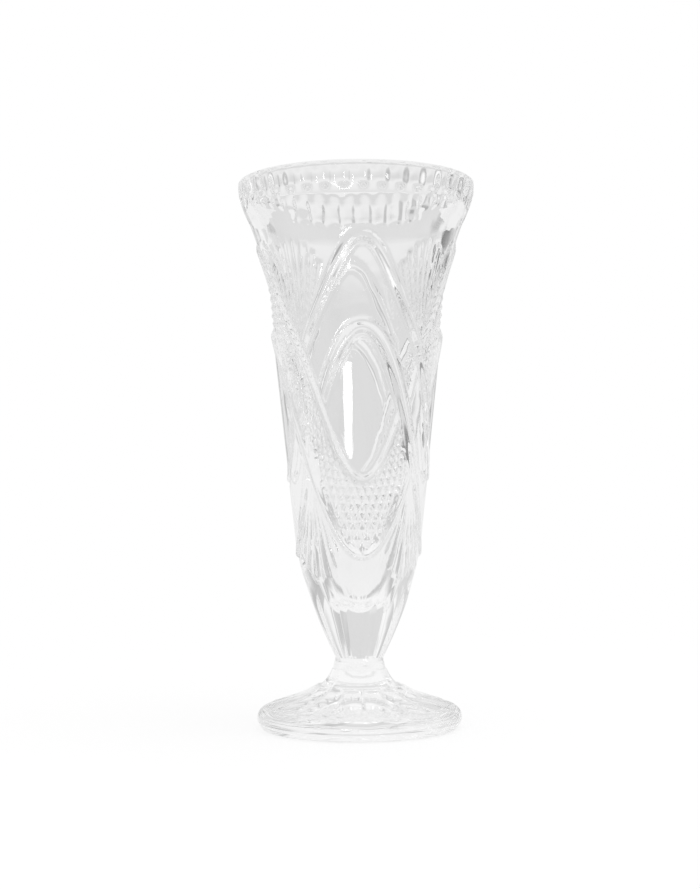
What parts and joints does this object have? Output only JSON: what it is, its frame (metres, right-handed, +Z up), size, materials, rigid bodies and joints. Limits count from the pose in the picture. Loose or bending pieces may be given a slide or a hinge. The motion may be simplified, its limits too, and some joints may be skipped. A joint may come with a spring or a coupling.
{
  "type": "footed glass vase",
  "caption": "Footed flower vase of clear pressed glass: a tall flared bowl with interlaced bands and fans, a fluted lip, a panelled stem, a joining wafer and a flared foot.",
  "frame": {"origin": "centre of the foot's resting ring, on the surface that the vase stands on", "axes": "+Z up along the vase's axis, -Y towards the middle of a panel whose crest is a smooth band"},
  "size_m": [0.087, 0.087, 0.2],
  "materials": {
    "clear_glass": "fire-polished clear glass"
  },
  "bodies": {
    "root": {"bowl": "clear_glass", "joining_wafer": "clear_glass", "foot": "clear_glass"}
  },
  "joints": []
}
